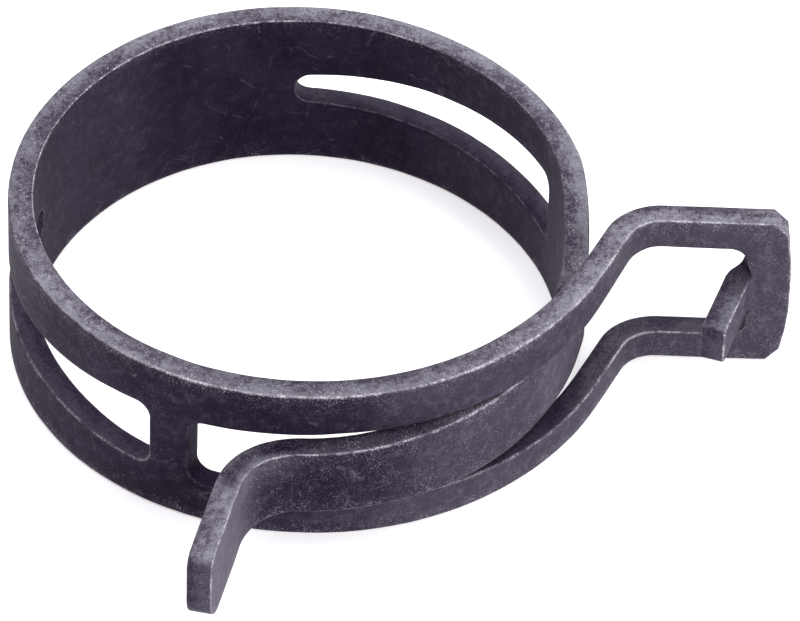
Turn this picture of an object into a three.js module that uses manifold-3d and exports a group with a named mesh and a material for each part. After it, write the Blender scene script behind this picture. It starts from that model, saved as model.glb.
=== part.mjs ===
// A constant-tension spring band hose clamp, in millimetres, standing on its lower edge, +Z up.
//
// The real clamp is one stamped strip of spring steel. It is rolled into a ring whose two ends
// overlap: the far end is a narrow tongue that slides in a slot of the other end. Both ends turn
// outwards as ears. Pliers press the ears together, the strip gives all the way round, and the
// ring grows. The strip is modelled as short stretches with a small gap where one bends on the next.
//
// Places along the strip are distances S along its mid line, measured from the yoke's edge.
import * as THREE from "three";
import Module from "manifold-3d";

const wasm = await Module();
wasm.setup();

// ---------- driving dimensions ----------

const BAND_WIDTH = 15;
const THICKNESS = 2.1;
const OUTER_EDGE_ROUNDING = 0.25; // the blank's die-roll side, which is the ring's outside
const INNER_EDGE_ROUNDING = 0.15;
const FLEX_GAP = 0.3;
const LONGEST_STEP = 1.6; // along the strip, between two sections of a mesh
const CORNER_STEPS = 5; // sections in one rounded corner of the outline

// The mid line, seen from above.
const YOKE_EDGE = { x: 40.1, y: -0.36, headingDegrees: 180 };
const YOKE_PLATE_LENGTH = 10.3;
const YOKE_BEND = { degrees: 66.1, radius: 4.2 };
const YOKE_LEG_LENGTH = 5.34;
const EAR_BEND = { degrees: 80.1, radius: 5.6 };
const PULL_EAR_LENGTH = 9.35;

// The outline of the flat blank.
const YOKE_CHAMFER = 1.25;
const YOKE_EDGE_BULGE = 0.4; // the outer edge of the yoke is a little bowed
const YOKE_CORNER = 0.1; // where the bowed edge meets the chamfers
const WINDOW_CORNER = 1.25;
const YOKE_WINDOW_START = 3.4;
const CROSSPIECE_START = 58.7;
const CROSSPIECE_END = 62.25;
const SIDE_WINDOW_END = 92.5;
const BACK_SLOT_START = 122.6;
const BACK_SLOT_END = 152;
const SHOULDER = { topStart: 153.5, topEnd: 163, bottomStart: 156, bottomEnd: 166 };
const STRIP_END = 214.1;
const EAR_TOP_CORNER = 1.4;
const EAR_BOTTOM_CORNER = 2.6;

// The hook that holds the clamp pre-opened: a tab cut from the yoke window and bent outwards.
const HOOK = { start: 2.36, low: 5.6, high: 9.2, bend: { degrees: 72.5, radius: 1.85 }, length: 6.7 };
const HOOK_RELIEF = 0.3;

// Where the strip is divided.
const YOKE_JOIN = 6;
const YOKE_LEG_END = 20.5;
const FRONT_RAIL_ENDS = [20.5, 31.5, 42.5, 53.5];
const CROSSPIECE_STRETCH = [53.5, 68];
const SIDE_RAIL_STRETCH = [68, 82.5];
const SIDE_BAND_STRETCH = [82.5, 97];
const BACK_BAND_STRETCH = [97, 107.5];
const REAR_BAND_STRETCH = [107.5, 118];
const SLOT_BAND_STRETCH = [118, 131.3];
const SLOT_RAIL_STRETCH = [131.3, 144.6];
const SHOULDER_STRETCH = [144.6, 158];
const TONGUE_ENDS = [158, 170.2, 182.4, 194.5];

const BLACKENED_STEEL = { color: 0x34303b, roughness: 0.5, metalness: 0.75 };

// ---------- the mid line ----------

const radians = THREE.MathUtils.degToRad;

const straight = (length) => ({ length, curvature: 0 });
const clockwise = (degrees, radius) => ({ length: radius * radians(degrees), curvature: 1 / radius });
const anticlockwise = (degrees, radius) => ({
  length: radius * radians(degrees),
  curvature: -1 / radius,
});

// A path of straight stretches and arcs. It gives the point and heading at a distance along it.
function pathOf(start, stretches) {
  const walk = (from, stretch, distance) => {
    const heading = from.heading - stretch.curvature * distance;
    if (stretch.curvature === 0)
      return {
        x: from.x + Math.cos(heading) * distance,
        y: from.y + Math.sin(heading) * distance,
        heading,
      };
    return {
      x: from.x + (Math.sin(from.heading) - Math.sin(heading)) / stretch.curvature,
      y: from.y + (Math.cos(heading) - Math.cos(from.heading)) / stretch.curvature,
      heading,
    };
  };
  return (distance) => {
    let at = start;
    let left = distance;
    for (const stretch of stretches.slice(0, -1)) {
      if (left <= stretch.length) return walk(at, stretch, left);
      at = walk(at, stretch, stretch.length);
      left -= stretch.length;
    }
    return walk(at, stretches.at(-1), left);
  };
}

// The ring is a little out of round, as a relaxed clamp is: each arc of it has its own radius.
const strip = pathOf(
  { x: YOKE_EDGE.x, y: YOKE_EDGE.y, heading: radians(YOKE_EDGE.headingDegrees) },
  [
    straight(YOKE_PLATE_LENGTH),
    anticlockwise(YOKE_BEND.degrees, YOKE_BEND.radius),
    straight(YOKE_LEG_LENGTH),
    clockwise(30, 27.16),
    clockwise(60, 24.18),
    clockwise(60, 23.52),
    clockwise(60, 23.86),
    clockwise(60, 21.78),
    clockwise(60, 23.99),
    clockwise(45, 26.53),
    clockwise(30, 22.72),
    clockwise(22.9, 16.43),
    anticlockwise(EAR_BEND.degrees, EAR_BEND.radius),
    straight(PULL_EAR_LENGTH),
  ],
);

const hookLine = pathOf(strip(HOOK.start), [
  anticlockwise(HOOK.bend.degrees, HOOK.bend.radius),
  straight(HOOK.length),
]);
const HOOK_END = HOOK.bend.radius * radians(HOOK.bend.degrees) + HOOK.length;

// ---------- the outline of the blank: heights along the strip ----------

const level = (height) => () => height;

// Straight lines from one [S, height] to the next.
const taper = (points) => (s) => {
  const next = points.findIndex((point) => point[0] >= s);
  if (next < 1) return next === 0 ? points[0][1] : points.at(-1)[1];
  const [s0, height0] = points[next - 1];
  const [s1, height1] = points[next];
  return THREE.MathUtils.mapLinear(s, s0, s1, height0, height1);
};

// How far a rounded corner of a radius takes the edge in, at a distance from the end it rounds.
function cornerDepth(distance, radius) {
  if (distance >= radius) return 0;
  const across = radius - Math.max(distance, 0);
  return radius - Math.sqrt(radius * radius - across * across);
}

const yokeChamfer = taper([
  [-YOKE_EDGE_BULGE, 5.5],
  [-YOKE_EDGE_BULGE / 2, 3.2],
  [YOKE_CORNER, YOKE_CHAMFER],
  [YOKE_CHAMFER, 0],
]);
const tongueTop = taper([
  [SHOULDER.topEnd, 11.2],
  [173, 10.75],
  [183, 10.68],
  [191, 10.55],
  [199, 10.25],
]);
const tongueBottom = taper([
  [SHOULDER.bottomEnd, 3.6],
  [172, 3.8],
  [185, 3.85],
  [191, 4.15],
  [197.5, 4.0],
  [206, 3.15],
]);
const slotTop = taper([
  [12, 12],
  [17, 11.65],
  [20, 11.4],
  [24, 11.15],
  [32, 10.88],
  [47, 10.8],
  [CROSSPIECE_START, 10.4],
]);
const slotBottom = taper([
  [12, 2.85],
  [24, 2.95],
  [32, 3.1],
  [40, 3.4],
  [CROSSPIECE_START, 3.95],
]);
const sideWindowTop = taper([
  [CROSSPIECE_END, 10.5],
  [66, 10.3],
  [73, 9.75],
  [SIDE_WINDOW_END, 8.5],
]);
const sideWindowBottom = taper([
  [CROSSPIECE_END, 4.15],
  [67, 4.4],
  [74, 5],
  [82, 5.35],
  [SIDE_WINDOW_END, 5.9],
]);
const backSlotTop = taper([
  [BACK_SLOT_START, 8.8],
  [134, 9.85],
  [BACK_SLOT_END, 11.2],
]);
const backSlotBottom = taper([
  [BACK_SLOT_START, 6.2],
  [136, 5.75],
  [BACK_SLOT_END, 4.7],
]);

function bandTop(s) {
  const narrowing = THREE.MathUtils.smoothstep(s, SHOULDER.topStart, SHOULDER.topEnd);
  const shoulder = THREE.MathUtils.lerp(BAND_WIDTH, tongueTop(s), narrowing);
  return shoulder - yokeChamfer(s) - cornerDepth(STRIP_END - s, EAR_TOP_CORNER);
}

function bandBottom(s) {
  const narrowing = THREE.MathUtils.smoothstep(s, SHOULDER.bottomStart, SHOULDER.bottomEnd);
  const shoulder = THREE.MathUtils.lerp(0, tongueBottom(s), narrowing);
  return shoulder + yokeChamfer(s) + cornerDepth(STRIP_END - s, EAR_BOTTOM_CORNER);
}

// ---------- solids ----------

// Distances from one end to the other. An end named with a radius gets close steps in that corner.
function stationsOf(from, to, startCorner = 0, endCorner = 0) {
  const places = [from, to];
  const steps = Math.ceil((to - from) / LONGEST_STEP);
  for (let i = 1; i < steps; i += 1) places.push(from + ((to - from) * i) / steps);
  for (let i = 1; i <= CORNER_STEPS; i += 1) {
    const reach = 1 - Math.cos((i / CORNER_STEPS) * (Math.PI / 2));
    if (startCorner) places.push(from + startCorner * reach);
    if (endCorner) places.push(to - endCorner * reach);
  }
  places.sort((a, b) => a - b);
  return places.filter((place, i) => i === 0 || place - places[i - 1] > 1e-3);
}

// The strip's cross-section as [offset, height] points, the ring's outer face first.
function roundedSection(low, high) {
  const corners = [
    { side: 1, height: low, inwards: 1, radius: OUTER_EDGE_ROUNDING, steps: 2 },
    { side: 1, height: high, inwards: -1, radius: OUTER_EDGE_ROUNDING, steps: 2 },
    { side: -1, height: high, inwards: -1, radius: INNER_EDGE_ROUNDING, steps: 1 },
    { side: -1, height: low, inwards: 1, radius: INNER_EDGE_ROUNDING, steps: 1 },
  ];
  return corners.flatMap((corner, quarter) =>
    Array.from({ length: corner.steps + 1 }, (_, step) => {
      const angle = (Math.PI / 2) * (quarter - 1 + step / corner.steps);
      return [
        corner.side * (THICKNESS / 2 - corner.radius) + Math.cos(angle) * corner.radius,
        corner.height + corner.inwards * corner.radius + Math.sin(angle) * corner.radius,
      ];
    }),
  );
}

// The cross-section of a punch, which passes right through the strip.
const punchSection = (low, high) => [
  [THICKNESS, low],
  [THICKNESS, high],
  [-THICKNESS, high],
  [-THICKNESS, low],
];

// A closed solid that follows a path, with a cross-section between two heights at each station.
function formed(path, stations, low, high, sectionOf = roundedSection) {
  const positions = [];
  const triangles = [];
  let size = 0;
  for (const s of stations) {
    const { x, y, heading } = path(s);
    const section = sectionOf(low(s), high(s));
    size = section.length;
    for (const [offset, height] of section)
      positions.push(x - Math.sin(heading) * offset, y + Math.cos(heading) * offset, height);
  }
  for (let i = 0; i + 1 < stations.length; i += 1)
    for (let j = 0; j < size; j += 1) {
      const a = i * size + j;
      const b = i * size + ((j + 1) % size);
      triangles.push(a, b, b + size, a, b + size, a + size);
    }
  const last = (stations.length - 1) * size;
  for (let j = 1; j + 1 < size; j += 1) {
    triangles.push(0, j + 1, j);
    triangles.push(last, last + j, last + j + 1);
  }
  return new wasm.Manifold(
    new wasm.Mesh({
      numProp: 3,
      vertProperties: new Float32Array(positions),
      triVerts: new Uint32Array(triangles),
    }),
  );
}

// A stretch of the strip, between two heights, short of its neighbours by half a gap at each end.
function stretch([from, to], low = bandBottom, high = bandTop) {
  return formed(strip, stationsOf(from + FLEX_GAP / 2, to - FLEX_GAP / 2), low, high);
}

// A punch for a slot or window from one end to the other, with its corners rounded.
function punch([from, to], low, high, startCorner, endCorner) {
  const depth = (s) => cornerDepth(s - from, startCorner) + cornerDepth(to - s, endCorner);
  return formed(
    strip,
    stationsOf(from, to, startCorner, endCorner),
    (s) => low(s) + depth(s),
    (s) => high(s) - depth(s),
    punchSection,
  );
}

function geometryOf(solid) {
  const mesh = solid.getMesh();
  const geometry = new THREE.BufferGeometry();
  geometry.setAttribute("position", new THREE.BufferAttribute(mesh.vertProperties, mesh.numProp));
  geometry.setIndex(new THREE.BufferAttribute(mesh.triVerts, 1));
  geometry.computeVertexNormals();
  return geometry;
}

const ring = new THREE.Group();

function add(name, solid) {
  const mesh = new THREE.Mesh(
    geometryOf(solid),
    new THREE.MeshStandardMaterial({ ...BLACKENED_STEEL, flatShading: true }),
  );
  mesh.name = name;
  ring.add(mesh);
}

// ---------- the yoke ear: a frame of two arms and a crossbar, and the retaining hook ----------

const hookRelief = punch(
  [HOOK.start - HOOK_RELIEF, YOKE_WINDOW_START + WINDOW_CORNER],
  level(HOOK.low - HOOK_RELIEF),
  level(HOOK.high + HOOK_RELIEF),
  0,
  0,
);
const yokeWindow = punch([YOKE_WINDOW_START, YOKE_LEG_END], slotBottom, slotTop, WINDOW_CORNER, 0);
const crossbarStations = [
  -YOKE_EDGE_BULGE,
  -YOKE_EDGE_BULGE / 2,
  YOKE_CORNER,
  YOKE_CHAMFER,
  YOKE_WINDOW_START,
  YOKE_JOIN - FLEX_GAP / 2,
];
const crossbar = formed(strip, crossbarStations, bandBottom, bandTop);
add("yoke_crossbar", crossbar.subtract(yokeWindow).subtract(hookRelief));
add("yoke_upper_arm", stretch([YOKE_JOIN, YOKE_LEG_END], slotTop, bandTop));
add("yoke_lower_arm", stretch([YOKE_JOIN, YOKE_LEG_END], bandBottom, slotBottom));
add("retaining_hook", formed(hookLine, stationsOf(0, HOOK_END), level(HOOK.low), level(HOOK.high)));

// ---------- the front rails, one above and one below the tongue ----------

for (let i = 1; i < FRONT_RAIL_ENDS.length; i += 1) {
  const ends = [FRONT_RAIL_ENDS[i - 1], FRONT_RAIL_ENDS[i]];
  add(`front_upper_rail_${i}`, stretch(ends, slotTop, bandTop));
  add(`front_lower_rail_${i}`, stretch(ends, bandBottom, slotBottom));
}

// ---------- the crosspiece between the front slot and the side window ----------

const frontSlot = punch(
  [CROSSPIECE_STRETCH[0] - FLEX_GAP, CROSSPIECE_START],
  slotBottom,
  slotTop,
  0,
  WINDOW_CORNER,
);
const sideWindow = punch(
  [CROSSPIECE_END, SIDE_WINDOW_END],
  sideWindowBottom,
  sideWindowTop,
  WINDOW_CORNER,
  WINDOW_CORNER,
);
add("crosspiece", stretch(CROSSPIECE_STRETCH).subtract(frontSlot).subtract(sideWindow));

// ---------- the side rails and the plain band behind them ----------

add("side_upper_rail", stretch(SIDE_RAIL_STRETCH, sideWindowTop, bandTop));
add("side_lower_rail", stretch(SIDE_RAIL_STRETCH, bandBottom, sideWindowBottom));
add("side_band", stretch(SIDE_BAND_STRETCH).subtract(sideWindow));
add("back_band", stretch(BACK_BAND_STRETCH));
add("rear_band", stretch(REAR_BAND_STRETCH));

// ---------- the tapering slot of the far side, and the shoulder that narrows to the tongue ----------

const backSlot = punch(
  [BACK_SLOT_START, BACK_SLOT_END],
  backSlotBottom,
  backSlotTop,
  WINDOW_CORNER,
  WINDOW_CORNER,
);
add("slot_band", stretch(SLOT_BAND_STRETCH).subtract(backSlot));
add("slot_upper_rail", stretch(SLOT_RAIL_STRETCH, backSlotTop, bandTop));
add("slot_lower_rail", stretch(SLOT_RAIL_STRETCH, bandBottom, backSlotBottom));
add("shoulder", stretch(SHOULDER_STRETCH).subtract(backSlot));

// ---------- the tongue and the pull ear at its end ----------

for (let i = 1; i < TONGUE_ENDS.length; i += 1)
  add(`tongue_${i}`, stretch([TONGUE_ENDS[i - 1], TONGUE_ENDS[i]]));

const earStations = stationsOf(TONGUE_ENDS.at(-1) + FLEX_GAP / 2, STRIP_END, 0, EAR_BOTTOM_CORNER);
add("pull_ear", formed(strip, earStations, bandBottom, bandTop));

// ---------- the frame: the origin is under the middle of the bounding box ----------

const box = new THREE.Box3().setFromObject(ring, true);
const middle = box.getCenter(new THREE.Vector3());
ring.position.set(-middle.x, -middle.y, -box.min.z);

const clamp = new THREE.Group();
clamp.add(ring);

export default clamp;
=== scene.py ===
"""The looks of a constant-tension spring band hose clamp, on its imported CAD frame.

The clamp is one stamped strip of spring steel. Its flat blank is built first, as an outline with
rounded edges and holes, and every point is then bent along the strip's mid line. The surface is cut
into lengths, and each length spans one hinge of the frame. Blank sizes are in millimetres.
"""

import math

import bmesh
import bpy
import numpy as np
from mathutils import Matrix, Vector, noise
from mathutils.geometry import delaunay_2d_cdt


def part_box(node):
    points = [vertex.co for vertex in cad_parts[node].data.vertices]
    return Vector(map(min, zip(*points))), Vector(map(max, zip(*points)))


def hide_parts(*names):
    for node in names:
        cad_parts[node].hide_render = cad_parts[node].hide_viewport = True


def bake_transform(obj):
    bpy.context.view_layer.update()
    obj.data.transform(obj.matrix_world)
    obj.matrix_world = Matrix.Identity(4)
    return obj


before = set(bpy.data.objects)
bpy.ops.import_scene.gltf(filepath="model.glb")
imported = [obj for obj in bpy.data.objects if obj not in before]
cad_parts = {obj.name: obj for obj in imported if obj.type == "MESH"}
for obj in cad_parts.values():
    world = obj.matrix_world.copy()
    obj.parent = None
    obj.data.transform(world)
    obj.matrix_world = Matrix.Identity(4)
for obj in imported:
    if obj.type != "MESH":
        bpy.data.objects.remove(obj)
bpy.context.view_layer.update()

MM = 0.001

# ---------- the strip, as in the CAD source ----------

BAND_WIDTH = 15.0
THICKNESS = 2.07  # a hair under the CAD's, so that the surface stays inside it
CAD_THICKNESS = 2.1
YOKE_EDGE = (40.1, -0.36)
YOKE_EDGE_BULGE = 0.4
PLATE_LENGTH = 10.3
YOKE_BEND = (66.1, 4.2)
LEG_LENGTH = 5.34
RING_ARCS = (
    (30, 27.16),
    (60, 24.18),
    (60, 23.52),
    (60, 23.86),
    (60, 21.78),
    (60, 23.99),
    (45, 26.53),
    (30, 22.72),
    (22.9, 16.43),
)
EAR_BEND = (80.1, 5.6)
EAR_LENGTH = 9.35
STRIP_END = 214.1

YOKE_CHAMFER = 1.25
SLOT_START = 3.4
SLOT_END = 58.7
SIDE_WINDOW = (62.25, 92.5)
BACK_SLOT = (122.6, 152.0)
WINDOW_CORNER = 1.25
EAR_TOP_CORNER = 1.4
EAR_BOTTOM_CORNER = 2.6
SHOULDER_TOP = (153.5, 163.0)
SHOULDER_BOTTOM = (156.0, 166.0)

HOOK_START = 2.36
HOOK_LOW = 5.6
HOOK_HIGH = 9.2
HOOK_BEND = (72.5, 1.85)
HOOK_LENGTH = 6.7
HOOK_CORNER = 0.45
HOOK_FILLET = 0.3
HOOK_DRAWN = 0.8  # how far beside the hook's root the metal is drawn along with it
HOOK_FREE = SLOT_START + 0.1  # from here on the hook stands free of the crossbar
YOKE_WINDOW_TOP_CORNER = 1.5
YOKE_WINDOW_LOW_START = SLOT_START - 0.25
# The notch under the hook's root: how far past the window's start, and how far below the fillet.
ROOT_NOTCH = ((0.1, 0.25), (0.02, 0.6))

TONGUE_TOP = ((163.0, 11.2), (173.0, 10.75), (183.0, 10.68), (191.0, 10.55), (199.0, 10.25))
TONGUE_BOTTOM = (
    (166.0, 3.6),
    (172.0, 3.8),
    (185.0, 3.85),
    (191.0, 4.15),
    (197.5, 4.0),
    (206.0, 3.15),
)
SLOT_TOP = (
    (12.0, 12.0),
    (17.0, 11.65),
    (20.0, 11.4),
    (24.0, 11.15),
    (32.0, 10.88),
    (47.0, 10.8),
    (58.7, 10.4),
)
SLOT_BOTTOM = ((12.0, 2.85), (24.0, 2.95), (32.0, 3.1), (40.0, 3.4), (58.7, 3.95))
SIDE_WINDOW_TOP = ((62.25, 10.5), (66.0, 10.3), (73.0, 9.75), (92.5, 8.5))
SIDE_WINDOW_BOTTOM = ((62.25, 4.15), (67.0, 4.4), (74.0, 5.0), (82.0, 5.35), (92.5, 5.9))
BACK_SLOT_TOP = ((122.6, 8.8), (134.0, 9.85), (152.0, 11.2))
BACK_SLOT_BOTTOM = ((122.6, 6.2), (136.0, 5.75), (152.0, 4.7))
YOKE_BOW = ((-0.4, 5.5), (-0.2, 3.2), (0.1, 1.25), (1.25, 0.0))

# ---------- the edges of the blank ----------

OUTER_ROUNDING = ((8.0, 0.18), (14.0, 0.25), (190.0, 0.25), (197.0, 0.15))
INNER_ROUNDING = 0.15
OUTER_STEPS = 4
INNER_STEPS = 2
WALL_STEPS = 3
POINT_SPACING = 0.5
FACE_SPACING = 0.9
BEND_SPACING = 0.3
HOOK_SPACING = 0.4
TIGHT_BENDS = ((9.5, 16.0), (190.0, 206.0), (HOOK_START, 6.0))
CORNER_STEPS = 9
FILLET_STEPS = 5
TIP_STEPS = 7
CLOSEST_POINTS = 0.02
LEAST_SHARED = 0.5  # keeps the inset from overshooting at sharp corners
SAME_PLACE = 1e-5
LOWEST_LEVEL = 0.5
EDGE_CLEARANCE = 0.3  # how far the inner points of a face stay from its outline
SEAM_CLEARANCE = 0.35
CHUNK = 2000  # points handled at once

# The cut edges aren't quite true: the height, length and seed of the waves in them.
EDGE_WAVES = ((0.07, 4.0, 3.0), (0.03, 0.9, 9.0))
ROUNDING_WAVES = (0.3, 2.5, 20.0)

# Each length of the surface: name, where it ends, the hinge inside it, its two bodies, and the CAD
# nodes that it stands for.
LENGTHS = (
    (
        "strip_yoke_ear",
        26.0,
        20.5,
        ("yoke", "front_rails_1"),
        ("yoke_crossbar", "yoke_upper_arm", "yoke_lower_arm", "retaining_hook"),
    ),
    (
        "strip_front_rails_1",
        37.0,
        31.5,
        ("front_rails_1", "front_rails_2"),
        ("front_upper_rail_1", "front_lower_rail_1"),
    ),
    (
        "strip_front_rails_2",
        48.0,
        42.5,
        ("front_rails_2", "front_rails_3"),
        ("front_upper_rail_2", "front_lower_rail_2"),
    ),
    (
        "strip_front_rails_3",
        60.5,
        53.5,
        ("front_rails_3", "crosspiece"),
        ("front_upper_rail_3", "front_lower_rail_3"),
    ),
    ("strip_crosspiece", 75.25, 68.0, ("crosspiece", "side_rails"), ("crosspiece",)),
    (
        "strip_side_rails",
        90.0,
        82.5,
        ("side_rails", "side_band"),
        ("side_upper_rail", "side_lower_rail"),
    ),
    ("strip_side_band", 102.25, 97.0, ("side_band", "back_band"), ("side_band", "back_band")),
    ("strip_rear_band", 112.75, 107.5, ("back_band", "rear_band"), ("rear_band",)),
    ("strip_slot_band", 124.65, 118.0, ("rear_band", "slot_band"), ("slot_band",)),
    (
        "strip_slot_rails",
        137.95,
        131.3,
        ("slot_band", "slot_rails"),
        ("slot_upper_rail", "slot_lower_rail"),
    ),
    ("strip_shoulder", 150.0, 144.6, ("slot_rails", "shoulder"), ("shoulder",)),
    ("strip_tongue_root", 166.3, 158.0, ("shoulder", "tongue_1"), ("tongue_1",)),
    ("strip_tongue_middle", 176.3, 170.2, ("tongue_1", "tongue_2"), ("tongue_2",)),
    ("strip_tongue_end", 188.45, 182.4, ("tongue_2", "tongue_3"), ("tongue_3",)),
    ("strip_pull_ear", STRIP_END, 194.5, ("tongue_3", "pull_ear"), ("pull_ear",)),
)
SEAMS = [length[1] for length in LENGTHS[:-1]]

# ---------- the mid line ----------


def taper(points, s):
    """Straight lines through points of distance and value, at distances along the strip."""
    return np.interp(s, *np.array(points).T)


def smoothstep(edges, s):
    """0 before the first edge, 1 after the second, and a smooth rise between them."""
    t = np.clip((s - edges[0]) / (edges[1] - edges[0]), 0, 1)
    return t * t * (3 - 2 * t)


def arc(degrees, radius):
    """Length and curvature of an arc; clockwise, seen from above, is positive."""
    return abs(radius * math.radians(degrees)), math.copysign(1 / radius, degrees)


def path_from(x, y, heading, stretches):
    """The start of each stretch as rows of distance, x, y, heading, curvature."""
    rows = []
    distance = 0.0
    for length, curvature in stretches:
        rows.append((distance, x, y, heading, curvature))
        turned = heading - curvature * length
        if curvature:
            x += (math.sin(heading) - math.sin(turned)) / curvature
            y += (math.cos(turned) - math.cos(heading)) / curvature
        else:
            x += math.cos(heading) * length
            y += math.sin(heading) * length
        heading = turned
        distance += length
    return np.array(rows)


def along(path, s):
    """x, y and heading at distances along a path."""
    row = path[np.clip(np.searchsorted(path[:, 0], s, side="right") - 1, 0, len(path) - 1)]
    start, x, y, heading, curvature = row.T
    turned = heading - curvature * (s - start)
    bent = curvature != 0
    safe = np.where(bent, curvature, 1.0)
    x_bent = x + (np.sin(heading) - np.sin(turned)) / safe
    y_bent = y + (np.cos(turned) - np.cos(heading)) / safe
    x_straight = x + np.cos(heading) * (s - start)
    y_straight = y + np.sin(heading) * (s - start)
    return np.where(bent, x_bent, x_straight), np.where(bent, y_bent, y_straight), turned


STRIP = path_from(
    *YOKE_EDGE,
    math.pi,
    [
        (PLATE_LENGTH, 0.0),
        arc(-YOKE_BEND[0], YOKE_BEND[1]),
        (LEG_LENGTH, 0.0),
        *[arc(*ring_arc) for ring_arc in RING_ARCS],
        arc(-EAR_BEND[0], EAR_BEND[1]),
        (EAR_LENGTH, 0.0),
    ],
)
HOOK_ROOT = [float(value) for value in along(STRIP, np.array(HOOK_START))]
HOOK_LINE = path_from(*HOOK_ROOT, [arc(-HOOK_BEND[0], HOOK_BEND[1]), (HOOK_LENGTH, 0.0)])
HOOK_TIP = HOOK_START + HOOK_LINE[1, 0] + HOOK_LENGTH
HOOK_MIDDLE = (HOOK_LOW + HOOK_HIGH) / 2
HOOK_HALF = (HOOK_HIGH - HOOK_LOW) / 2

# The frame's origin, from where the CAD's crossbar is.
crossbar_low, crossbar_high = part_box("yoke_crossbar")
SHIFT_X = crossbar_high.x / MM - (YOKE_EDGE[0] + YOKE_EDGE_BULGE)
SHIFT_Y = crossbar_low.y / MM - (YOKE_EDGE[1] - CAD_THICKNESS / 2)


def bent(s, offset, height):
    """Points of the flat blank, bent into place, in metres in the row frame."""
    s, offset, height = (np.asarray(value, float) for value in (s, offset, height))
    beside = np.abs(height - HOOK_MIDDLE) - HOOK_HALF
    drawn = 1 - smoothstep((0.0, HOOK_DRAWN), beside)
    drawn = np.where(s < HOOK_FREE, drawn, beside < HOOK_FILLET + CLOSEST_POINTS / 2)
    drawn = np.where((s > HOOK_START) & (s < HOOK_TIP + 1), drawn, 0.0)
    x, y, heading = along(STRIP, s)
    hook_x, hook_y, hook_heading = along(HOOK_LINE, np.maximum(s - HOOK_START, 0.0))
    x = x + (hook_x - x) * drawn
    y = y + (hook_y - y) * drawn
    heading = heading + (hook_heading - heading) * drawn
    points = np.stack(
        [
            x - np.sin(heading) * offset + SHIFT_X,
            y + np.cos(heading) * offset + SHIFT_Y,
            height,
        ],
        -1,
    )
    return points * MM


# ---------- the outline of the flat blank ----------


def corner_depth(distance, radius):
    """How far a rounded corner takes the edge in, at a distance from the end that it rounds."""
    across = radius - np.clip(distance, 0, radius)
    return radius - np.sqrt(radius * radius - across * across)


def band_top(s):
    narrowing = smoothstep(SHOULDER_TOP, s)
    shoulder = BAND_WIDTH + (taper(TONGUE_TOP, s) - BAND_WIDTH) * narrowing
    return shoulder - taper(YOKE_BOW, s) - corner_depth(STRIP_END - s, EAR_TOP_CORNER)


def band_bottom(s):
    shoulder = taper(TONGUE_BOTTOM, s) * smoothstep(SHOULDER_BOTTOM, s)
    return shoulder + taper(YOKE_BOW, s) + corner_depth(STRIP_END - s, EAR_BOTTOM_CORNER)


def stations(start, end, spacing=POINT_SPACING):
    """Distances from start to end, close together in the bends, with every seam among them."""
    marks = {start, end}
    marks.update(seam for seam in SEAMS if start < seam < end)
    for bend in TIGHT_BENDS:
        marks.update(edge for edge in bend if start < edge < end)
    marks = sorted(marks)
    out = [np.array([start])]
    for a, b in zip(marks, marks[1:]):
        middle = (a + b) / 2
        in_bend = any(bend[0] < middle < bend[1] for bend in TIGHT_BENDS)
        step = BEND_SPACING if in_bend else spacing
        out.append(np.linspace(a, b, max(2, math.ceil((b - a) / step) + 1))[1:])
    return np.concatenate(out)


def corner_stations(end, radius, sign, steps=CORNER_STEPS):
    """Distances through a rounded corner, from where it begins to the end that it rounds."""
    turn = np.linspace(0, math.pi / 2, steps)
    return end - sign * radius * (1 - np.sin(turn))


def level_run(s, low, high, spacing=POINT_SPACING):
    """Points up (or down) a line at one distance along the strip, without its two ends."""
    count = max(2, math.ceil(abs(high - low) / spacing) + 1)
    heights = np.linspace(low, high, count)[1:-1]
    return np.stack([np.full(len(heights), s), heights], 1)


def edge_run(places, height_of):
    return np.stack([places, height_of(places)], 1)


def joined(*runs):
    """One closed loop of points from runs, without repeated points."""
    points = np.concatenate([np.asarray(run, float).reshape(-1, 2) for run in runs])
    step = np.hypot(*(points - np.roll(points, 1, axis=0)).T)
    return points[step > CLOSEST_POINTS]


def blank_outline():
    chamfer = np.array([s for s, _ in YOKE_BOW])
    bottom_straight = stations(YOKE_CHAMFER, STRIP_END - EAR_BOTTOM_CORNER)[1:]
    top_straight = stations(YOKE_CHAMFER, STRIP_END - EAR_TOP_CORNER)[1:]
    bottom_corner = corner_stations(STRIP_END, EAR_BOTTOM_CORNER, 1)
    top_corner = corner_stations(STRIP_END, EAR_TOP_CORNER, 1)
    bottom = np.concatenate([chamfer, bottom_straight, bottom_corner[1:]])
    top = np.concatenate([chamfer, top_straight, top_corner[1:]])
    low_end = float(band_bottom(np.array(STRIP_END)))
    high_end = float(band_top(np.array(STRIP_END)))
    return joined(
        edge_run(bottom, band_bottom),
        level_run(STRIP_END, low_end, high_end),
        edge_run(top, band_top)[::-1],
        level_run(-YOKE_EDGE_BULGE, BAND_WIDTH - YOKE_BOW[0][1], YOKE_BOW[0][1]),
    )


def slot_outline(ends, top, bottom):
    """A slot or window with its four corners rounded."""
    start, end = ends
    radius = WINDOW_CORNER
    straight = stations(start + radius, end - radius)
    first = corner_stations(start, radius, -1)[::-1]
    last = corner_stations(end, radius, 1)
    places = np.concatenate([first[:-1], straight, last[1:]])
    depth = corner_depth(places - start, radius) + corner_depth(end - places, radius)
    low = taper(bottom, places) + depth
    high = taper(top, places) - depth
    return joined(
        np.stack([places, low], 1),
        level_run(end, low[-1], high[-1]),
        np.stack([places, high], 1)[::-1],
        level_run(start, high[0], low[0]),
    )


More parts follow.
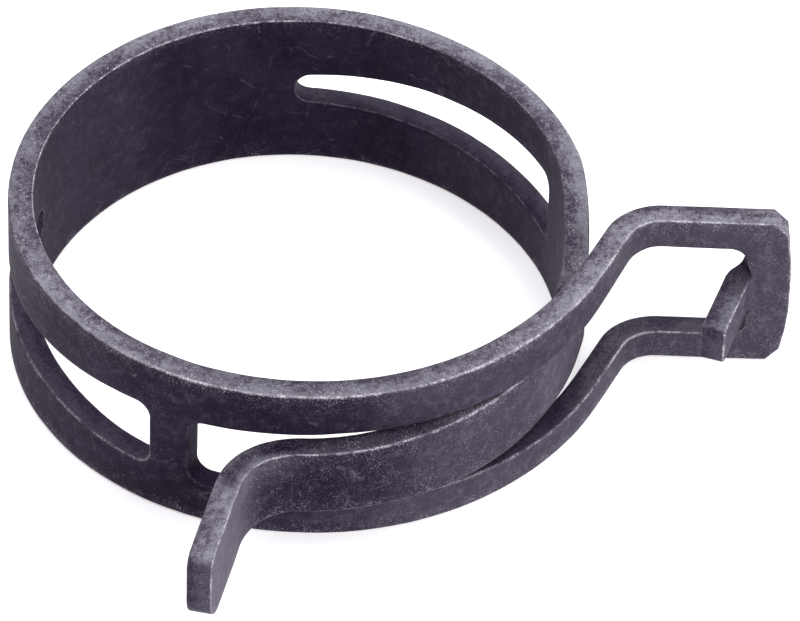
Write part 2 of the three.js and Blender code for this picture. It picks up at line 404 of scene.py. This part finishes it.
def front_slot_outline():
    """The slot with the yoke's window at its start, round the hook that is bent out of it."""
    radius = WINDOW_CORNER
    fillet = HOOK_FILLET
    end = SLOT_END
    last = corner_stations(end, radius, 1)

    def side_of_slot(start, corner, heights, sign):
        """The slot's top (sign -1) or bottom (sign 1), rounded at both of its ends."""
        first = corner_stations(start, corner, -1)[::-1]
        places = np.concatenate([first[:-1], stations(start + corner, end - radius), last[1:]])
        depth = corner_depth(places - start, corner) + corner_depth(end - places, radius)
        return np.stack([places, taper(heights, places) + sign * depth], 1)

    top = side_of_slot(SLOT_START, YOKE_WINDOW_TOP_CORNER, SLOT_TOP, -1)
    low = side_of_slot(YOKE_WINDOW_LOW_START, radius, SLOT_BOTTOM, 1)
    turn = np.linspace(0, math.pi / 2, FILLET_STEPS)
    root_s = SLOT_START + fillet * (1 - np.cos(turn))
    root_rise = fillet * (1 - np.sin(turn))
    side = stations(SLOT_START + fillet, HOOK_TIP - HOOK_CORNER, HOOK_SPACING)
    tip_turn = np.linspace(0, math.pi / 2, TIP_STEPS)
    tip_s = HOOK_TIP - HOOK_CORNER * (1 - np.sin(tip_turn))
    tip_rise = HOOK_CORNER * (1 - np.cos(tip_turn))
    out_s = np.concatenate([root_s[:-1], side, tip_s[1:]])
    out_rise = np.concatenate([-root_rise[:-1], 0 * side, tip_rise[1:]])
    return joined(
        low,
        level_run(end, low[-1, 1], top[-1, 1]),
        top[::-1],
        np.stack([out_s, HOOK_HIGH - out_rise], 1),
        level_run(HOOK_TIP, HOOK_HIGH - HOOK_CORNER, HOOK_LOW + HOOK_CORNER, HOOK_SPACING),
        np.stack([out_s, HOOK_LOW + out_rise], 1)[::-1],
        [(YOKE_WINDOW_LOW_START + past, HOOK_LOW - fillet - down) for past, down in ROOT_NOTCH],
    )


def signed_area(loop):
    following = np.roll(loop, -1, axis=0)
    return 0.5 * float(np.sum(loop[:, 0] * following[:, 1] - following[:, 0] * loop[:, 1]))


def into_metal(loop):
    """At each point of a loop that has the metal on its left, how far to move to inset it by 1."""
    forwards = np.roll(loop, -1, axis=0) - loop
    forwards /= np.hypot(*forwards.T)[:, None]
    normal = np.stack([-forwards[:, 1], forwards[:, 0]], 1)
    before = np.roll(normal, 1, axis=0)
    shared = 1 + np.sum(normal * before, 1)
    return (normal + before) / np.maximum(shared, LEAST_SHARED)[:, None]


def uneven(points, size, seed):
    """Smooth noise from 0 to 1 at points of the blank, for edges that aren't quite true."""
    return np.array(
        [noise.noise(Vector((s / size, z / size, seed))) * 0.5 + 0.5 for s, z in points]
    )


# ---------- the surface of the flat blank ----------


OUTLINE, FRONT_SLOT, NO_RIM = 0, 1, -1


class Blank:
    """Vertices and faces of the blank, with what the material needs to know at each vertex."""

    def __init__(self):
        self.flat = []  # distance along the strip, height, offset from the mid line
        self.cut = []  # 0 on the rolled faces, 1 on the cut edge
        self.ridge = []  # 1 on the corner between a face and the cut edge
        self.rim = []  # which outline the point belongs to, or NO_RIM on a face
        self.seam = []  # the seam that the point is on, if any
        self.faces = []

    def add(self, points, offset, cut=0.0, ridge=0.0, rim=NO_RIM, seams=None):
        """Adds points and returns the index of the first."""
        first = len(self.cut)
        for (s, z), at in zip(points, np.broadcast_to(offset, len(points))):
            self.flat.append((s, z, at))
        self.cut.extend([cut] * len(points))
        self.ridge.extend([ridge] * len(points))
        self.rim.extend([rim] * len(points))
        self.seam.extend(seams or [None] * len(points))
        return first


def edge_rows(outer, inner):
    """Rows across the cut edge, from the outer face to the inner, for the roundings at each point.

    Each row is how deep in the metal it lies, its offset from the mid line, its cut and its ridge.
    """
    half = THICKNESS / 2
    for step in range(OUTER_STEPS + 1):
        turn = math.pi / 2 * step / OUTER_STEPS
        depth = outer * (1 - math.sin(turn))
        yield depth, half - outer * (1 - math.cos(turn)), step / OUTER_STEPS, math.sin(2 * turn)
    for step in range(1, WALL_STEPS):
        share = step / WALL_STEPS
        yield 0 * outer, (half - outer) * (1 - share) + (inner - half) * share, 1.0, 0.0
    for step in range(INNER_STEPS, -1, -1):
        turn = math.pi / 2 * step / INNER_STEPS
        depth = inner * (1 - math.sin(turn))
        yield depth, inner * (1 - math.cos(turn)) - half, step / INNER_STEPS, math.sin(2 * turn)


def inside(points, loops):
    """Which points are in the metal, by counting the outlines crossed on the way out."""
    crossings = np.zeros(len(points), int)
    for loop in loops:
        a = loop
        b = np.roll(loop, -1, axis=0)
        for start in range(0, len(points), CHUNK):
            s, z = points[start : start + CHUNK].T[:, :, None]
            spans = (a[:, 1] > z) != (b[:, 1] > z)
            rise = np.where(b[:, 1] == a[:, 1], 1.0, b[:, 1] - a[:, 1])
            at = a[:, 0] + (z - a[:, 1]) * (b[:, 0] - a[:, 0]) / rise
            crossings[start : start + CHUNK] += (spans & (s < at)).sum(1)
    return crossings % 2 == 1


def clear_of(points, loops, distance):
    """Which points are at least a distance from every outline."""
    outline = np.concatenate(loops)
    clear = np.ones(len(points), bool)
    for start in range(0, len(points), CHUNK):
        part = points[start : start + CHUNK]
        gaps = np.hypot(
            part[:, None, 0] - outline[None, :, 0], part[:, None, 1] - outline[None, :, 1]
        )
        clear[start : start + CHUNK] = gaps.min(1) > distance
    return clear


def add_face(blank, loops, rings, offset):
    """Fills the region inside the inset outlines with triangles, on one face of the blank."""
    points = np.concatenate(loops)
    known = [index for ring in rings for index in ring]
    edges = []
    first = 0
    for loop in loops:
        count = len(loop)
        edges += [(first + i, first + (i + 1) % count) for i in range(count)]
        first += count
    # a chain of points across each band of metal at each seam
    extra = []
    for seam in SEAMS:
        at_seam = sorted((z, i) for i, (_, z) in enumerate(points) if blank.seam[known[i]] == seam)
        for (low, a), (high, b) in zip(at_seam[::2], at_seam[1::2]):
            steps = max(1, round((high - low) / FACE_SPACING))
            chain = [a]
            for step in range(1, steps):
                share = step / steps
                chain.append(len(points) + len(extra))
                extra.append(tuple(points[a] * (1 - share) + points[b] * share))
            chain.append(b)
            edges += list(zip(chain, chain[1:]))
    columns = stations(-YOKE_EDGE_BULGE, STRIP_END, FACE_SPACING)
    levels = np.arange(LOWEST_LEVEL, BAND_WIDTH, FACE_SPACING)
    grid = np.array([(s, z) for s in columns for z in levels])
    seam_gap = np.abs(grid[:, 0][:, None] - np.array(SEAMS)[None, :]).min(1)
    grid = grid[seam_gap > SEAM_CLEARANCE]
    grid = grid[inside(grid, loops)]
    grid = grid[clear_of(grid, loops, EDGE_CLEARANCE)]
    extra += [tuple(point) for point in grid]
    coordinates = [Vector(point) for point in points] + [Vector(point) for point in extra]
    made = delaunay_2d_cdt(coordinates, edges, [], 0, SAME_PLACE, True)
    vertices, triangles, sources = made[0], made[2], made[3]
    added = blank.add(extra, offset)
    index_of = []
    for vertex, source in zip(vertices, sources):
        if not source:
            raise RuntimeError(f"two outlines cross near {tuple(vertex)}")
        chosen = min(source)
        index_of.append(known[chosen] if chosen < len(points) else added + chosen - len(points))
    corners = np.array([[vertices[i] for i in triangle] for triangle in triangles], float)
    kept = inside(corners.mean(1), loops)
    blank.faces += [
        tuple(index_of[i] for i in triangle) for triangle, keep in zip(triangles, kept) if keep
    ]


def seam_at(s):
    """The seam at a distance along the strip, or None."""
    for seam in SEAMS:
        if abs(s - seam) < SAME_PLACE:
            return seam
    return None


def build_blank():
    """The whole blank: rounded edges round each outline, then its two faces."""
    blank = Blank()
    outlines = [
        blank_outline(),
        front_slot_outline(),
        slot_outline(SIDE_WINDOW, SIDE_WINDOW_TOP, SIDE_WINDOW_BOTTOM),
        slot_outline(BACK_SLOT, BACK_SLOT_TOP, BACK_SLOT_BOTTOM),
    ]
    outer_loops, inner_loops, outer_rings, inner_rings = [], [], [], []
    for number, loop in enumerate(outlines):
        wanted = 1 if number == 0 else -1
        if signed_area(loop) * wanted < 0:
            loop = loop[::-1]
        inwards = into_metal(loop)
        seams = [seam_at(s) for s in loop[:, 0]]
        rough = sum(
            height * uneven(loop, length, seed + number) for height, length, seed in EDGE_WAVES
        )
        loop = loop + inwards * rough[:, None]
        height, length, seed = ROUNDING_WAVES
        worn = 1 + height * (uneven(loop, length, seed + number) - 0.5)
        outer = taper(OUTER_ROUNDING, loop[:, 0]) * worn
        inner = INNER_ROUNDING * worn
        count = len(loop)
        rings = []
        for depth, offset, cut, ridge in edge_rows(outer, inner):
            row = loop + inwards * depth[:, None]
            first = blank.add(row, offset, cut, ridge, number, seams)
            rings.append(list(range(first, first + count)))
        for upper, lower in zip(rings, rings[1:]):
            for i in range(count):
                j = (i + 1) % count
                blank.faces.append((upper[i], upper[j], lower[j], lower[i]))
        outer_rings.append(rings[0])
        inner_rings.append(rings[-1])
        outer_loops.append(loop + inwards * outer[:, None])
        inner_loops.append(loop + inwards * inner[:, None])
    add_face(blank, outer_loops, outer_rings, THICKNESS / 2)
    add_face(blank, inner_loops, inner_rings, -THICKNESS / 2)
    return blank


blank = build_blank()
flat = np.array(blank.flat)
cut = np.array(blank.cut)
ridge = np.array(blank.ridge)
rim = np.array(blank.rim)
position = bent(flat[:, 0], flat[:, 2], flat[:, 1])

whole = bpy.data.meshes.new("whole_strip")
whole.from_pydata([tuple(p) for p in position], [], blank.faces)
surface = bmesh.new()
surface.from_mesh(whole)
bmesh.ops.recalc_face_normals(surface, faces=surface.faces)
surface.to_mesh(whole)
surface.free()
whole.update()
normals = np.zeros(len(position) * 3, np.float32)
whole.vertex_normals.foreach_get("vector", normals)
normals = normals.reshape(-1, 3)
polygons = [tuple(polygon.vertices) for polygon in whole.polygons]
bpy.data.meshes.remove(whole)
middle_s = np.array([flat[list(polygon), 0].mean() for polygon in polygons])
length_of = np.searchsorted(np.array(SEAMS), middle_s)


# ---------- the material: blackened spring steel ----------

DEEP_FACE = (0.004, 0.0014, 0.0085, 1)
DARK_FACE = (0.0105, 0.0055, 0.0175, 1)
PALE_FACE = (0.105, 0.094, 0.122, 1)
DARK_CUT = (0.03, 0.023, 0.037, 1)
PALE_CUT = (0.198, 0.195, 0.224, 1)
# bright bare steel for the flecks, and for the corner lines, which are partly a painted highlight
BRIGHT_STEEL_AND_HIGHLIGHT = (0.5, 0.485, 0.53, 1)
SCRATCH_WIDTH = 0.006
SPECULAR_LEVEL = 0.1
SPECULAR_TINT = (0.85, 0.7, 1.0, 1)
BUMP_STRENGTH = 0.35
BUMP_DISTANCE = 0.00003


def blackened_steel():
    """Dark violet rolled faces, paler in places, and bare mottled cut edges."""
    material = bpy.data.materials.new("blackened_spring_steel")
    material.use_nodes = True
    tree = material.node_tree
    nodes, links = tree.nodes, tree.links
    nodes.clear()

    def node(kind, inputs=(), **settings):
        made = nodes.new(kind)
        for name, value in settings.items():
            setattr(made, name, value)
        for name, value in dict(inputs).items():
            if isinstance(value, bpy.types.NodeSocket):
                links.new(value, made.inputs[name])
            else:
                made.inputs[name].default_value = value
        return made

    def attribute(name, output="Fac"):
        return node("ShaderNodeAttribute", attribute_name=name).outputs[output]

    def stretched(scale, rotation=(0.0, 0.0, 0.0)):
        mapping = node(
            "ShaderNodeMapping", {"Vector": place_on_blank, "Scale": scale, "Rotation": rotation}
        )
        return mapping.outputs["Vector"]

    def cloud(size, detail=4.0, roughness=0.6, vector=None, distortion=0.0):
        made = node(
            "ShaderNodeTexNoise",
            {
                "Vector": vector or place_on_blank,
                "Scale": 1.0 / size,
                "Detail": detail,
                "Roughness": roughness,
                "Distortion": distortion,
            },
        )
        return made.outputs["Fac"]

    def between(value, low, high, to_low=0.0, to_high=1.0):
        made = node(
            "ShaderNodeMapRange",
            {
                "Value": value,
                "From Min": low,
                "From Max": high,
                "To Min": to_low,
                "To Max": to_high,
            },
            interpolation_type="SMOOTHSTEP",
        )
        return made.outputs["Result"]

    def math_node(operation, a, b):
        return node("ShaderNodeMath", {0: a, 1: b}, operation=operation).outputs[0]

    def mixed(share, a, b):
        made = node(
            "ShaderNodeMix", {0: share, 6: a, 7: b}, data_type="RGBA", clamp_factor=True
        )
        return made.outputs[2]

    place_on_blank = attribute("blank", "Vector")
    on_cut = attribute("cut")
    on_ridge = attribute("ridge")
    paleness = attribute("pale")
    edge_paleness = attribute("edge_pale")
    fleckiness = attribute("flecked")

    def added(*values):
        total = values[0]
        for value in values[1:]:
            total = math_node("ADD", total, value)
        return total

    def times(a, b):
        return math_node("MULTIPLY", a, b)

    def line_of(value, width):
        """1 along the thin curves where a noise passes its middle value."""
        away = math_node("ABSOLUTE", math_node("SUBTRACT", value, 0.5), 0.0)
        return between(away, 0.0, width, 1.0, 0.0)

    # blank holds the distance along the strip, the height and the offset from the mid line
    across = node("ShaderNodeSeparateXYZ", {"Vector": place_on_blank}).outputs["Z"]
    clouds = cloud(6.0, 4.0, 0.5)
    webs = cloud(1.1, 9.0, 0.74, distortion=0.4)
    mottle = cloud(0.4, 6.0, 0.78)
    relief = cloud(0.7, 2.0, 0.5)
    grain = cloud(0.11, 3.0, 0.7)
    flecks = cloud(0.1, 2.0, 0.6)
    fleck_field = cloud(1.5, 8.0, 0.8)
    long_patches = cloud(1.6, 5.0, 0.6, stretched((0.45, 1.0, 1.0)))
    scratches = line_of(
        cloud(4.0, 1.0, 0.5, stretched((0.5, 1.0, 1.0), (0.0, 0.0, 0.9))), SCRATCH_WIDTH
    )
    more_scratches = line_of(
        cloud(3.0, 1.0, 0.5, stretched((1.0, 0.3, 1.0), (0.0, 0.0, 0.5))), SCRATCH_WIDTH
    )

    face = mixed(between(clouds, 0.3, 0.7), DEEP_FACE, DARK_FACE)
    web_share = added(0.06, times(between(across, -0.5, 0.5), 0.08), times(paleness, 0.36))
    face = mixed(times(between(webs, 0.46, 0.68), web_share), face, PALE_FACE)
    face = mixed(times(paleness, 0.33), face, PALE_FACE)
    sparkle = added(0.03, times(fleckiness, 0.3), times(paleness, 0.35))
    face = mixed(times(between(grain, 0.5, 0.68), sparkle), face, PALE_FACE)
    scratched = times(added(scratches, more_scratches), between(webs, 0.45, 0.6))
    face = mixed(times(scratched, 0.3), face, PALE_FACE)

    bare = added(
        times(long_patches, 0.45),
        times(mottle, 0.62),
        times(grain, 0.35),
        times(between(across, -1.0, 1.0), 0.12),
    )
    edge = mixed(between(bare, 0.64, 0.92), DARK_CUT, PALE_CUT)
    edge = mixed(times(between(webs, 0.5, 0.6), 0.38), edge, PALE_CUT)
    edge = mixed(times(between(grain, 0.5, 0.62), 0.55), edge, DARK_CUT)
    edge = mixed(edge_paleness, DARK_FACE, edge)

    frayed = added(on_cut, times(mottle, 0.5))
    colour = mixed(between(frayed, 0.62, 0.95), face, edge)

    fleck_share = times(between(fleck_field, 0.42, 0.62, 0.12, 0.9), fleckiness)
    fleck = times(between(flecks, 0.57, 0.72), fleck_share)
    colour = mixed(fleck, colour, BRIGHT_STEEL_AND_HIGHLIGHT)

    # bright corner lines: partly worn steel, partly a painted highlight along the rounded corners
    rubbed_and_highlit = times(on_ridge, between(grain, 0.36, 0.62, 0.0, 1.2))
    rubbed_and_highlit = times(rubbed_and_highlit, between(fleck_field, 0.42, 0.56, 0.15, 1.0))
    colour = mixed(rubbed_and_highlit, colour, BRIGHT_STEEL_AND_HIGHLIGHT)

    rough = added(between(mottle, 0.3, 0.75, 0.62, 0.8), times(edge_paleness, -0.14))

    height = added(relief, times(grain, 0.1))
    bump = node(
        "ShaderNodeBump", {"Strength": BUMP_STRENGTH, "Distance": BUMP_DISTANCE, "Height": height}
    ).outputs["Normal"]

    shader = node(
        "ShaderNodeBsdfPrincipled", {"Base Color": colour, "Roughness": rough, "Normal": bump}
    )
    shader.inputs["Specular IOR Level"].default_value = SPECULAR_LEVEL
    shader.inputs["Specular Tint"].default_value = SPECULAR_TINT
    node("ShaderNodeOutputMaterial", {"Surface": shader.outputs["BSDF"]})
    return material


# Where the colour differs: from one distance along the strip to another, and the fade past each.
TONGUE_FACE = (176, 184, 8)
TONGUE_ROOT = (166, 172, 4)
RAIL_FACE = (24, 40, 8)
LOWER_RAIL_FACE = (22, 46, 8)
EAR_BEND_FACE = (199, 206, 4)
SIDE_FACE = (68, 100, 6)
INNER_SIDE = (88, 106, 6)
INNER_SLOT = (140, 158, 8)
INNER_SHOULDER = (153, 166, 4)
TONGUE_EDGE = (168, 196, 5)
EAR_BEND_EDGE = (199, 204, 3)
SHOULDER_EDGE = (157, 166, 4)
FRONT_EDGE = (40, 58, 8)
SIDE_EDGE = (84, 100, 8)
FRONT_RIDGE = (16, 60, 8)
BACK_LEFT_RIDGE = (84, 128, 10)
LOWER_ARM_RIDGE = (7, 20, 8)
EAR_END = (213.2, 213.9)
ARM_TO_RAIL = (18, 30)
LOW = 5.0  # heights under this are the lower rail or arm, and over it the upper

# Where the colour changes: from one distance along the strip to another.
EAR_FACE_FROM = (200, 206)
YOKE_FACE_TO = (16, 24)
HOOK_SIDE_FROM = (4.0, 8.0)
HOOK_RIDGE_FROM = (4.0, 6.0)
HOOK_END_FROM = (11.1, 11.35)
SLOT_WALL_TO = (50, 58)
SLOT_RIDGE_TO = (50, 56)
PLATE_RIDGE_TO = (12, 18)
TONGUE_RIDGE_FROM = (160, 168)
TONGUE_FLECKS_FROM = (164, 172)
YOKE_FLECKS_TO = (14, 22)


def within(value, start, end, fade):
    """1 between two values, falling to 0 over a distance past each of them."""
    return smoothstep((start - fade, start), value) * (1 - smoothstep((end, end + fade), value))


def on_the_hook(points, rims):
    s, z, _ = points.T
    near = np.abs(z - HOOK_MIDDLE) < HOOK_HALF + 0.1
    return (rims == FRONT_SLOT) & near & (s > HOOK_START) & (s < HOOK_TIP + 1)


def face_paleness(points):
    """Where the rolled faces are paler: the tongue, the ears and the rails beside them."""
    s, z, offset = points.T
    tongue = within(s, *TONGUE_FACE)
    tongue_root = within(s, *TONGUE_ROOT)
    ear = smoothstep(EAR_FACE_FROM, s)
    yoke = 1 - smoothstep(YOKE_FACE_TO, s)
    rail = within(s, *RAIL_FACE)
    lower_rail = within(s, *LOWER_RAIL_FACE) * (z < LOW)
    bend = within(s, *EAR_BEND_FACE) * smoothstep((7.0, 10.0), z)
    outside = 0.5 * tongue + 0.8 * tongue_root + 1.6 * ear + 0.8 * yoke + 0.45 * rail
    outside += 0.7 * bend + 0.3 * lower_rail + 0.1 * within(s, *SIDE_FACE)
    inside = 0.2 * within(s, *INNER_SIDE) + 0.25 * within(s, *INNER_SLOT)
    inside += 0.3 * within(s, *INNER_SHOULDER)
    return np.clip(np.where(offset > 0, outside, inside), 0, 1.6)


def edge_paleness(points, rims):
    """The ring's own edges are pale and bare, and the slots' walls nearly as dark as the faces."""
    s, z, offset = points.T
    middle = 1 - smoothstep((0.25, 0.85), np.abs(offset))
    crust = within(s, *EAR_BEND_EDGE) * (0.2 + 0.5 * middle) + 0.1 * within(s, *SHOULDER_EDGE)
    outline = 0.97 - 0.7 * within(s, *TONGUE_EDGE) - 0.7 * smoothstep(EAR_END, s) - crust
    outline -= 0.25 * within(s, *FRONT_EDGE) + 0.25 * within(s, *SIDE_EDGE)
    lower_arm = 0.35 * (1 - smoothstep(ARM_TO_RAIL, s)) * (z < LOW)
    front_slot = np.maximum(lower_arm, 0.12 * (1 - smoothstep(SLOT_WALL_TO, s)))
    slot = np.where(rims == FRONT_SLOT, front_slot, 0.2)
    hook = 0.25 + 0.4 * (smoothstep(HOOK_SIDE_FROM, s) - smoothstep(HOOK_END_FROM, s))
    slot = np.where(on_the_hook(points, rims), hook, slot)
    return np.where(rims == OUTLINE, outline, slot)


def ridge_wear_and_highlight(points, rims):
    """Bright, speckled lines on the corners: partly worn steel, partly a painted highlight."""
    s, z, offset = points.T
    outside = offset > 0
    top = z > BAND_WIDTH / 2
    front = within(s, *FRONT_RIDGE)
    back_left = within(s, *BACK_LEFT_RIDGE)
    plate = 1 - smoothstep(PLATE_RIDGE_TO, s)
    tongue = smoothstep(TONGUE_RIDGE_FROM, s)
    outer_top = 0.2 + 0.75 * front + 0.75 * plate + 0.6 * tongue
    inner_top = 0.15 + 0.75 * back_left
    outer_low = 0.15 + 0.3 * tongue + 0.3 * plate
    outline = np.where(outside, np.where(top, outer_top, outer_low), np.where(top, inner_top, 0.1))
    lower_arm = 0.9 * within(s, *LOWER_ARM_RIDGE) * (z < LOW) * (s > 6)
    slot = np.where(outside, np.where(top, 0.25, np.maximum(lower_arm, 0.45)), 0.2)
    slot = slot * (1 - 0.7 * smoothstep(SLOT_RIDGE_TO, s) * (rims == FRONT_SLOT))
    hook = np.where(outside, 0.9, 0.4) * smoothstep(HOOK_RIDGE_FROM, s)
    slot = np.where(on_the_hook(points, rims), hook, slot)
    return np.clip(np.where(rims == OUTLINE, outline, slot), 0, 1)


def fleck_density(points, rims):
    """Flecks are densest on the top edge, the tongue and the ears, and rarest inside the ring."""
    s, z, offset = points.T
    to_edge = np.minimum(z - band_bottom(s), band_top(s) - z)
    near_edge = 1 - smoothstep((0.3, 2.5), to_edge)
    ends = np.maximum(smoothstep(TONGUE_FLECKS_FROM, s), 1 - smoothstep(YOKE_FLECKS_TO, s))
    outside = 0.35 + 0.65 * smoothstep((-1.0, 0.6), offset)
    density = (0.16 + 0.25 * near_edge + 0.25 * ends) * outside
    ear_end = 1 - 0.65 * smoothstep(EAR_END, s)
    return np.where(rims == OUTLINE, (0.45 + 0.55 * outside) * ear_end, density)


steel = blackened_steel()
is_rim = rim != NO_RIM
pale = face_paleness(flat)
edge_pale = np.where(is_rim, edge_paleness(flat, rim), 0.0)
# the corner lines, partly worn steel and partly a painted highlight
rubbed_and_highlit = np.where(is_rim, ridge**3 * ridge_wear_and_highlight(flat, rim), 0.0)
flecked = fleck_density(flat, rim)

# ---------- the surface in lengths, each spanning one hinge -------------


def make_length(number):
    name, end, hinge, bodies, stands_for = LENGTHS[number]
    chosen = [polygons[i] for i in np.flatnonzero(length_of == number)]
    used = sorted({index for polygon in chosen for index in polygon})
    renumbered = {index: i for i, index in enumerate(used)}
    mesh = bpy.data.meshes.new(name)
    mesh.from_pydata(
        [tuple(position[i]) for i in used],
        [],
        [tuple(renumbered[i] for i in polygon) for polygon in chosen],
    )
    closed = bmesh.new()
    closed.from_mesh(mesh)
    open_edges = [edge for edge in closed.edges if edge.is_boundary]
    caps = bmesh.ops.holes_fill(closed, edges=open_edges, sides=0)["faces"]
    bmesh.ops.recalc_face_normals(closed, faces=caps)
    closed.to_mesh(mesh)
    closed.free()
    for attribute_name, kind, values in (
        ("blank", "FLOAT_VECTOR", flat[used]),
        ("cut", "FLOAT", cut[used]),
        ("ridge", "FLOAT", rubbed_and_highlit[used]),
        ("pale", "FLOAT", pale[used]),
        ("edge_pale", "FLOAT", edge_pale[used]),
        ("flecked", "FLOAT", flecked[used]),
    ):
        data = mesh.attributes.new(attribute_name, kind, "POINT").data
        key = "vector" if kind == "FLOAT_VECTOR" else "value"
        data.foreach_set(key, np.ascontiguousarray(values, np.float32).ravel())
    mesh.polygons.foreach_set("use_smooth", np.ones(len(mesh.polygons), bool))
    whole_normals = normals[used]
    corner_normals = []
    for polygon in mesh.polygons:
        if polygon.index < len(chosen):
            corner_normals += [tuple(whole_normals[i]) for i in polygon.vertices]
        else:
            corner_normals += [tuple(polygon.normal)] * len(polygon.vertices)
    mesh.normals_split_custom_set(corner_normals)
    mesh.materials.append(steel)
    piece = bpy.data.objects.new(name, mesh)
    bpy.context.scene.collection.objects.link(piece)
    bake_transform(piece)
    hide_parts(*stands_for)
    return piece


for number in range(len(LENGTHS)):
    make_length(number)

# ---------- floor, light and camera ----------

FLOOR_SIZE = 3.0
FLOOR_DROP = 0.00002


def pale_floor():
    mesh = bpy.data.meshes.new("floor")
    half = FLOOR_SIZE / 2
    corners = [(-half, -half), (half, -half), (half, half), (-half, half)]
    mesh.from_pydata([(x, y, -FLOOR_DROP) for x, y in corners], [], [(0, 1, 2, 3)])
    material = bpy.data.materials.new("pale_floor")
    material.use_nodes = True
    shader = material.node_tree.nodes["Principled BSDF"]
    shader.inputs["Base Color"].default_value = (0.9, 0.9, 0.9, 1)
    shader.inputs["Roughness"].default_value = 0.9
    shader.inputs["Specular IOR Level"].default_value = 0.1
    shader.inputs["Emission Color"].default_value = (1.0, 1.0, 1.0, 1)
    shader.inputs["Emission Strength"].default_value = 0.3
    mesh.materials.append(material)
    floor = bpy.data.objects.new("floor", mesh)
    bpy.context.scene.collection.objects.link(floor)


def soft_light(name, position, target, size, power):
    data = bpy.data.lights.new(name, "AREA")
    data.shape = "RECTANGLE"
    data.size, data.size_y = size
    data.energy = power
    light = bpy.data.objects.new(name, data)
    light.location = position
    light.rotation_mode = "QUATERNION"
    direction = Vector(target) - Vector(position)
    light.rotation_quaternion = direction.to_track_quat("-Z", "Y")
    bpy.context.scene.collection.objects.link(light)


CAMERA_ELEVATION = math.radians(41.674)
CAMERA_ROLL = math.radians(2.031)
CAMERA_PLACE = Vector((8.347 + SHIFT_X, -441.366 + SHIFT_Y, 395.772)) * MM
CAMERA_LENS = 320.06


def photo_camera():
    data = bpy.data.cameras.new("camera")
    data.sensor_fit = "HORIZONTAL"
    data.sensor_width = 36
    data.lens = CAMERA_LENS
    data.clip_start = 0.01
    data.clip_end = 20
    camera = bpy.data.objects.new("camera", data)
    right = Vector((1, 0, 0))
    forwards = Vector((0, math.cos(CAMERA_ELEVATION), -math.sin(CAMERA_ELEVATION)))
    up = Vector((0, math.sin(CAMERA_ELEVATION), math.cos(CAMERA_ELEVATION)))
    camera_x = right * math.cos(CAMERA_ROLL) + up * math.sin(CAMERA_ROLL)
    camera_y = up * math.cos(CAMERA_ROLL) - right * math.sin(CAMERA_ROLL)
    turned = Matrix((camera_x, camera_y, -forwards)).transposed().to_4x4()
    camera.matrix_world = Matrix.Translation(CAMERA_PLACE) @ turned
    bpy.context.scene.collection.objects.link(camera)
    bpy.context.scene.camera = camera


def pale_world():
    world = bpy.data.worlds.new("world")
    world.use_nodes = True
    background = world.node_tree.nodes["Background"]
    background.inputs["Color"].default_value = (0.98, 0.93, 1.0, 1)
    background.inputs["Strength"].default_value = 1.0
    bpy.context.scene.world = world


pale_floor()
pale_world()
soft_light("overhead", (0.05, 0.2, 0.75), (0, 0, 0), (1.0, 0.8), 6.0)
soft_light("right_front", (0.6, -0.55, 0.4), (0, 0, 0), (0.6, 0.5), 6.0)
photo_camera()
bpy.context.scene.view_settings.view_transform = "Standard"
